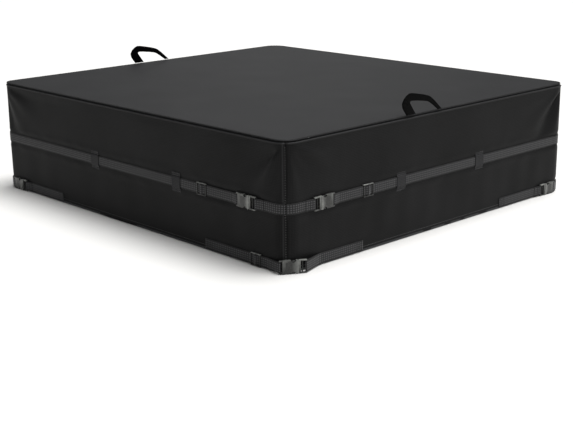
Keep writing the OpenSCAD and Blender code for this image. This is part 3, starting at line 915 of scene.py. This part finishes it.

# ----------------------------
# Hardware: side-release buckles and tri-glide adjusters, moulded in glossy dark acetal. Draft
# angles are small, every edge is rounded, and a painted highlight pales the mouth of each socket
# and the top rims.
acetal, tree = new_material("moulded acetal")
place = add(tree, "ShaderNodeTexCoord").outputs["Object"]
flow = noise(tree, place, 35.0, 3.0)
# Painted highlights: a pale grey mixed in where the mesh attribute says, on rims and mouths.
highlight_attribute = add(tree, "ShaderNodeAttribute", attribute_name="painted_highlight")
highlight_share = combine(tree, "MULTIPLY", highlight_attribute.outputs["Fac"], flow)
colour = colour_mix(tree, highlight_share, colour_mix(tree, flow, "1a1b1a", "2c2e2b"), "d2d4cf")
rough = add(tree, "ShaderNodeMapRange", {"Value": flow, "To Min": 0.16, "To Max": 0.3})
to_surface(tree, Base_Color=colour, Roughness=rough.outputs[0], IOR=1.49,
           Coat_Weight=0.3, Coat_Roughness=0.15,
           Normal=bumped(tree, noise(tree, place, 1400.0, 2.0), 0.08, 0.2 * MM))


def paint_highlights(obj, station, pale):
    """Paints highlights into a moulding's colour: pale(u, w) gives 0 to 1, and takes millimetres."""
    spots = np.array([vertex.co[:] for vertex in obj.data.vertices])
    u = (spots[:, :2] - np.array(station.at(0, 0))) @ np.array(station.along) / MM
    w = (spots[:, 2] - station.z) / MM
    mark(obj, "painted_highlight", pale(u, w))


PLATE_HALF = 28.6 * MM  # half the height of a socket's face
PLATE_N = 13.4  # the face, out from the cloth in millimetres


def face_plate(station, low_u, high_u):
    """The crowned face of a socket: it follows the side cut-outs and swells towards the mouth."""
    cut_u, cut_r = 62 * MM, 14.5 * MM
    round_cut = cut_u + cut_r * np.cos(np.linspace(0, math.pi, 19))
    u = np.unique(np.concatenate([np.linspace(low_u, high_u, 17), round_cut]))
    v = np.array([-1, -0.985, -0.95, -0.88, -0.7, -0.4, 0, 0.4, 0.7, 0.88, 0.95, 0.985, 1])
    U, V = np.meshgrid(u, v)
    cut = np.sqrt(np.clip(cut_r ** 2 - (U - cut_u) ** 2, 0, None)) - 2.2 * MM
    half = PLATE_HALF - np.clip(cut, 0, None)
    share = (U - low_u) / (high_u - low_u)
    edge = np.sqrt(np.clip(1 - V ** 8, 0, 1)) * np.clip(np.minimum(share, 1 - share) / 0.05, 0, 1) ** 0.5
    lip = 0.9 * np.exp(-((share - 0.93) / 0.05) ** 2)
    height = PLATE_N + edge * (1.5 + 0.5 * share + lip - 0.5 * V ** 2)
    places = np.zeros(U.shape + (3,))
    for i in np.ndindex(U.shape):
        places[i] = station.place(U[i], height[i] * MM, V[i] * half[i])
    plate = sheet_mesh("face_plate", places, np.stack([U, V], -1))
    outward = Vector((*station.out, 0))
    if sum((p.normal.dot(outward) for p in plate.data.polygons)) < 0:
        plate.data.flip_normals()
    thicken(plate, 1.2 * MM)
    return settle(plate, acetal)


def grip_ribs(station):
    """Three raised ribs on each latch pad, where a thumb and finger press."""
    mesh = bmesh.new()
    turned_to = Vector((*station.out, 0)).to_track_quat("Z", "Y").to_matrix().to_4x4()
    for side in (-1, 1):
        for u in (57, 62, 67):
            where = Matrix.Translation(station.place(u * MM, BAR_N, side * 29.2 * MM))
            bmesh.ops.create_cone(mesh, cap_ends=True, segments=8, depth=5.4 * MM,
                                  radius1=0.9 * MM, radius2=0.9 * MM, matrix=where @ turned_to)
    ribs = bpy.data.meshes.new("grip_ribs")
    mesh.to_mesh(ribs)
    mesh.free()
    return settle(linked("grip_ribs", ribs), acetal)


for place in PLACES:
    station = socket_at[place]
    body = softened(f"socket_{place}", "socket_body", acetal, 1.1 * MM, 3)
    socket = join([body, face_plate(station, 25 * MM, 83.2 * MM)], f"socket_moulding_{place}")
    # Painted highlights: the socket's mouth and top rim, the plug's top rim and end, the latch pads' outer
    # edges and the adjuster's top rim.
    paint_highlights(socket, station, lambda u, w: np.maximum(0.65 * ramp(u, 52, 84), 0.35 * ramp(w, 27, 29.5)))
    keep(socket, "cover", "buckle_plastic", f"socket_{place}")
    plug = softened(f"plug_{place}", f"plug_moulding_{place}", acetal, 0.8 * MM)
    paint_highlights(plug, station, lambda u, w: np.maximum(0.7 * ramp(w, 27, 29.5), 0.5 * ramp(u, 106, 114)))
    keep(plug, f"plug_{place}", "buckle_plastic", f"plug_{place}")
    arms = softened(f"latch_arms_{place}", "arms", acetal, 0.8 * MM)
    arms = join([arms, grip_ribs(station)], f"latch_arm_mouldings_{place}")
    paint_highlights(arms, station, lambda u, w: 0.2 * ramp(np.abs(w), 29, 31))
    keep(arms, f"plug_{place}", "buckle_plastic", f"latch_arms_{place}")
    glide = softened(f"triglide_{place}", f"triglide_moulding_{place}", acetal, 0.6 * MM)
    paint_highlights(glide, glide_at[place], lambda u, w: 0.9 * ramp(w, 25, 28))
    keep(glide, f"triglide_{place}", "buckle_plastic", f"triglide_{place}")

# Webbing that humps over each adjuster's middle bar and goes down on either side of it.
for place in PLACES:
    station = glide_at[place]
    middle = station.length / 2
    hump = [station.at(middle + u * MM, n * MM) for u, n in
            ((-15, 4.4), (-12, 5.2), (-8, 8.4), (-4, 10.6), (0, 11.2),
             (4, 10.6), (8, 8.4), (12, 5.2), (15, 4.4))]
    if np.cross(station.along, station.out) > 0:
        hump = hump[::-1]
    over = sweep(f"adjuster_webbing_{place}", ease(hump, 4 * MM), station.z)
    keep(over, f"triglide_{place}", "webbing")

# ----------------------------
# Stitching: bonded polyester thread. Long bar stitches cross the top seam and the corner seams, a
# running stitch holds the hem, and boxes of small stitches hold the webbing's sewn ends.
def thread_material(name, code):
    made, tree = new_material(name)
    place = add(tree, "ShaderNodeTexCoord").outputs["Object"]
    shine = tuple(min(1, 1.7 * c) for c in linear(code)[:3]) + (1,)
    to_surface(tree, Base_Color=colour_mix(tree, noise(tree, place, 900.0, 2.0), code, shine), Roughness=0.5)
    return made


pale_thread = thread_material("grey bonded thread", "4c4c4c")
dark_thread = thread_material("black bonded thread", "050505")


def stitch_row_tree():
    """Geometry Nodes: a thread lies at even steps along each line, in the direction the line gives."""
    tree = bpy.data.node_groups.new("stitch row", "GeometryNodeTree")
    for name, way, kind in (("Geometry", "INPUT", "Geometry"), ("Pitch", "INPUT", "Float"),
                            ("Stitch length", "INPUT", "Float"), ("Thread radius", "INPUT", "Float"),
                            ("Thread", "INPUT", "Material"), ("Geometry", "OUTPUT", "Geometry")):
        tree.interface.new_socket(name, in_out=way, socket_type="NodeSocket" + kind)
    given = add(tree, "NodeGroupInput")
    line = add(tree, "GeometryNodeMeshToCurve", {"Mesh": given.outputs["Geometry"]})
    steps = add(tree, "GeometryNodeResampleCurve",
                {"Curve": line.outputs[0], "Length": given.outputs["Pitch"]}, mode="LENGTH")
    thread = add(tree, "GeometryNodeMeshCylinder", {"Vertices": 6, "Radius": given.outputs["Thread radius"],
                                                    "Depth": given.outputs["Stitch length"]})
    lay = add(tree, "GeometryNodeInputNamedAttribute", {"Name": "lay"}, data_type="FLOAT_VECTOR")
    turn = add(tree, "FunctionNodeAlignRotationToVector", {"Vector": lay.outputs["Attribute"]}, axis="Z")
    rows = add(tree, "GeometryNodeInstanceOnPoints", {
        "Points": steps.outputs[0], "Instance": thread.outputs["Mesh"], "Rotation": turn.outputs[0]})
    real = add(tree, "GeometryNodeRealizeInstances", {"Geometry": rows.outputs[0]})
    sewn = add(tree, "GeometryNodeSetMaterial",
               {"Geometry": real.outputs[0], "Material": given.outputs["Thread"]})
    add(tree, "NodeGroupOutput", {"Geometry": sewn.outputs[0]})
    return tree


stitch_row = stitch_row_tree()


def stitching(name, lines, thread, pitch, length, radius):
    """Sews along lines, each a list of (place, direction of the thread)."""
    points = [tuple(p) for line in lines for p, _ in line]
    starts = np.cumsum([0] + [len(line) for line in lines])
    edges = [(a + i, a + i + 1) for a, line in zip(starts, lines) for i in range(len(line) - 1)]
    mesh = bpy.data.meshes.new(name)
    mesh.from_pydata(points, edges, [])
    lay = mesh.attributes.new("lay", "FLOAT_VECTOR", "POINT")
    lay.data.foreach_set("vector", np.array([d for line in lines for _, d in line], float).ravel())
    made = linked(name, mesh)
    row = made.modifiers.new("stitches", "NODES")
    row.node_group = stitch_row
    given = {"Pitch": pitch, "Stitch length": length, "Thread radius": radius, "Thread": thread}
    for item in stitch_row.interface.items_tree:
        if item.name in given:
            row[item.identifier] = given[item.name]
    keep(settle(made, thread), "cover", "cover_cloth")


def on_side(face, s, z, lift):
    """Places on a side panel's surface, and the directions along and out from it."""
    s, z = np.broadcast_arrays(np.asarray(s, float), np.asarray(z, float))
    plan, normal = around(face, s)
    out = side_relief(face, s, z) + lift
    return [((*(p + q * o), h), q) for p, q, o, h in zip(plan, normal, out, z)]


top_rows, hem_rows, seam_rows = [], [], []
for face in range(4):
    end = panel_half(face)
    s = graded(2 * end, np.linspace(0, 0.06, 9), np.linspace(0, 0.06, 9), 30 * MM) - end
    plan, normal = around(face, s)
    top_rows.append([((*(p - q * 5.5 * MM), CLOTH - 0.1 * MM), (*q, 0)) for p, q in zip(plan, normal)])
    hem_rows.append([(p, (-q[1], q[0], 0)) for p, q in on_side(face, s, -DROP + 20 * MM, 0.3 * MM)])
    heights = np.arange(SEAM_Z - 22 * MM, -DROP + 24 * MM, -4 * MM)
    seam_rows.append([(p, (-q[1], q[0], 0)) for p, q in on_side(face, end - 2.5 * MM, heights, 0.6 * MM)])
stitching("top_seam_stitches", top_rows, dark_thread, 10.5 * MM, 8 * MM, 1.3 * MM)
stitching("hem_stitches", hem_rows, pale_thread, 9 * MM, 6.5 * MM, 0.8 * MM)
stitching("corner_seam_stitches", seam_rows, pale_thread, 10.5 * MM, 8 * MM, 0.9 * MM)


def sewn_box(plan, z, along):
    """A box of stitches with a cross in it, round a plan place on upright webbing."""
    corners = [np.append(plan + along * a * BOX_HALF, z + b * BOX_HALF) for a, b in
               ((-1, -1), (1, -1), (1, 1), (-1, 1), (-1, -1))]
    pairs = list(zip(corners, corners[1:])) + [(corners[0], corners[2]), (corners[1], corners[3])]
    return [[(tuple(end), tuple(unit(b - a))) for end in (a, b)] for a, b in pairs]


BOX_HALF = 18 * MM
BOX_AT = 441 * MM  # a tail's box of stitches, from the corner or the socket's end
boxes = []
sewn_n = LAYER_1 + WEB_T / 2 + 0.2 * MM
for place in LOW:
    station, glide = socket_at[place], glide_at[place]
    anchor = glide.at(glide.length / 2 + ADJUSTER - ANCHOR + 24 * MM, sewn_n)
    boxes += sewn_box(anchor, station.z, glide.along)
    if place in NEXT_FACE:
        face = NEXT_FACE[place]
        boxes += sewn_box(face_place(face, BOX_AT, sewn_n), station.z, face_ways(face)[0])
    else:
        boxes += sewn_box(station.at(BOX_AT, sewn_n), station.z, station.along)
stitching("webbing_box_stitches", boxes, dark_thread, 4.5 * MM, 3.4 * MM, 0.45 * MM)

loop_rows = []
for face in range(4):
    along, out = (np.append(way, 0) for way in face_ways(face))
    for middle in loop_middle[face]:
        centre = along * middle + out * (HALF[face % 2] + 1.7 * MM) + np.array([0, 0, BELT_Z])
        for w in (-41, -31.5, 31.5, 41):
            ends = [centre + np.array([0, 0, w * MM]) + along * a * 28 * MM for a in (-1, 1)]
            loop_rows.append([(tuple(e), tuple(along)) for e in ends])
stitching("belt_loop_stitches", loop_rows, pale_thread, 4.5 * MM, 3.2 * MM, 0.45 * MM)
